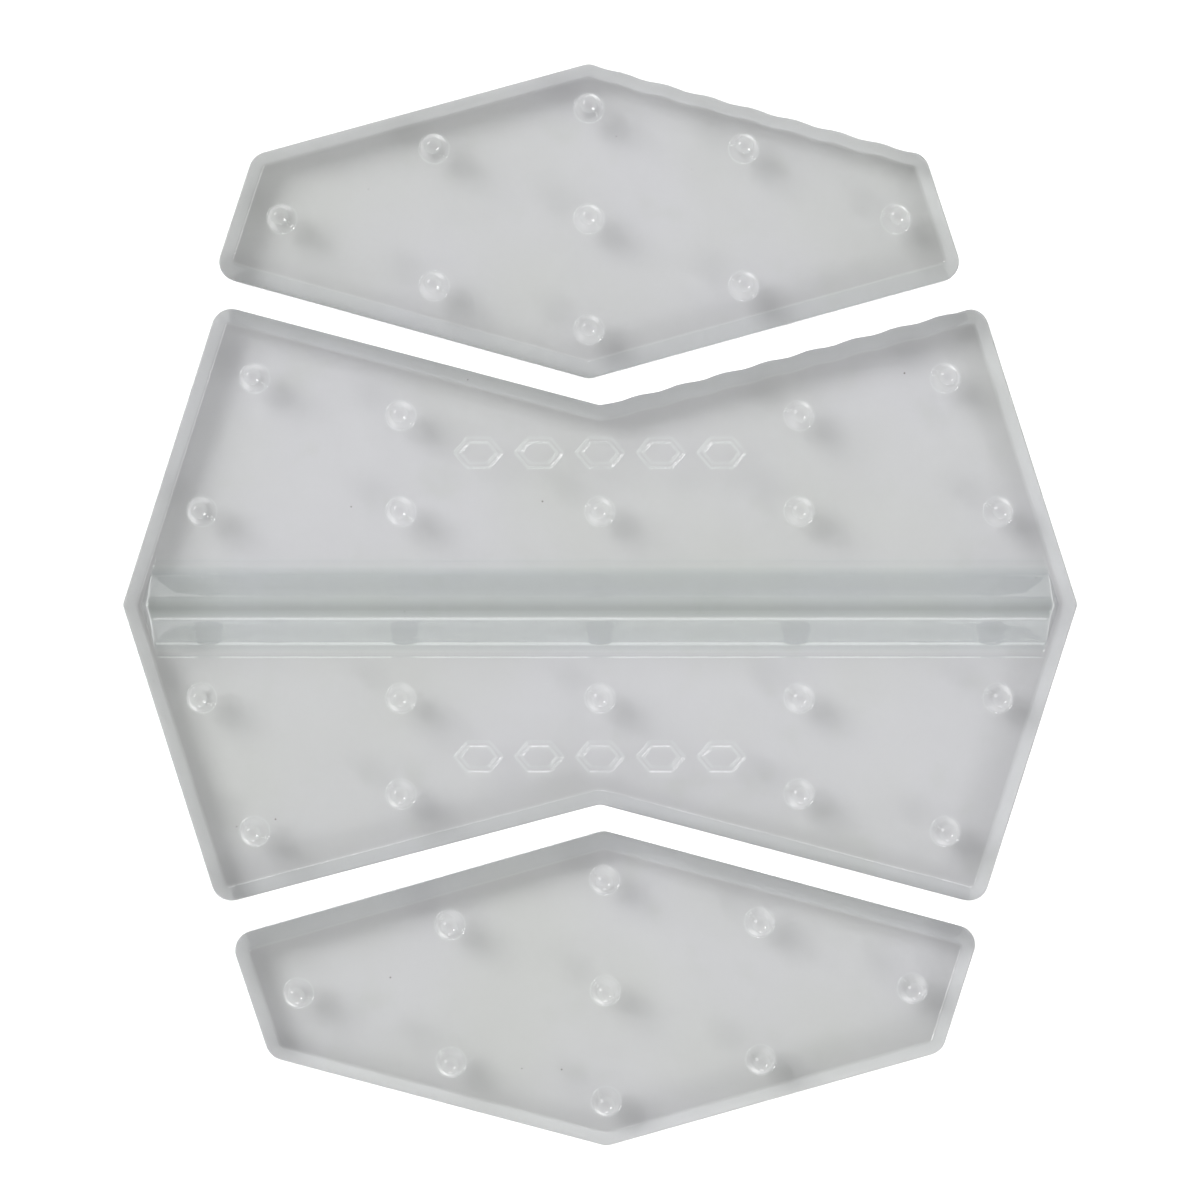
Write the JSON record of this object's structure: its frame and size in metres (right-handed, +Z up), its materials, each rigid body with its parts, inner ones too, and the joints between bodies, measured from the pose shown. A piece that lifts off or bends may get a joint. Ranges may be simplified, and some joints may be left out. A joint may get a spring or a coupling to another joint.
{
  "type": "snowboard stomp pad",
  "caption": "Modular clear stomp pad: a bow-tie middle pad with a kick ridge and a six-sided pad each side, with moulded grip studs, on peel-off liners.",
  "frame": {"origin": "on the ground, at the middle of the footprint: the centre of the middle pad, under its liner", "axes": "+Z up through the studs, +Y across the ridge towards the upper pad, X along the ridge"},
  "size_m": [0.152, 0.172, 0.0113],
  "materials": {
    "clear_pad": "clear soft polyurethane, faintly frosted, smooth moulded gloss",
    "adhesive_film": "clear acrylic adhesive film",
    "release_liner": "pale siliconised film, matt"
  },
  "bodies": {
    "middle_liner": {"middle_liner": "release_liner"},
    "middle_module": {"middle_pad": "clear_pad", "middle_adhesive": "adhesive_film"},
    "upper_liner": {"upper_liner": "release_liner"},
    "upper_module": {"upper_pad": "clear_pad", "upper_adhesive": "adhesive_film"},
    "lower_liner": {"lower_liner": "release_liner"},
    "lower_module": {"lower_pad": "clear_pad", "lower_adhesive": "adhesive_film"}
  },
  "joints": [
    {"name": "middle_peel", "type": "slide", "parent": "middle_liner", "child": "middle_module", "axis": [0, 0, 1], "range_m": [0, 0.02]},
    {"name": "upper_spacing", "type": "slide", "parent": "middle_liner", "child": "upper_liner", "axis": [0, 1, 0], "range_m": [-0.0025, 0.03]},
    {"name": "upper_peel", "type": "slide", "parent": "upper_liner", "child": "upper_module", "axis": [0, 0, 1], "range_m": [0, 0.02]},
    {"name": "lower_spacing", "type": "slide", "parent": "middle_liner", "child": "lower_liner", "axis": [0, -1, 0], "range_m": [-0.0025, 0.03]},
    {"name": "lower_peel", "type": "slide", "parent": "lower_liner", "child": "lower_module", "axis": [0, 0, 1], "range_m": [0, 0.02]}
  ]
}
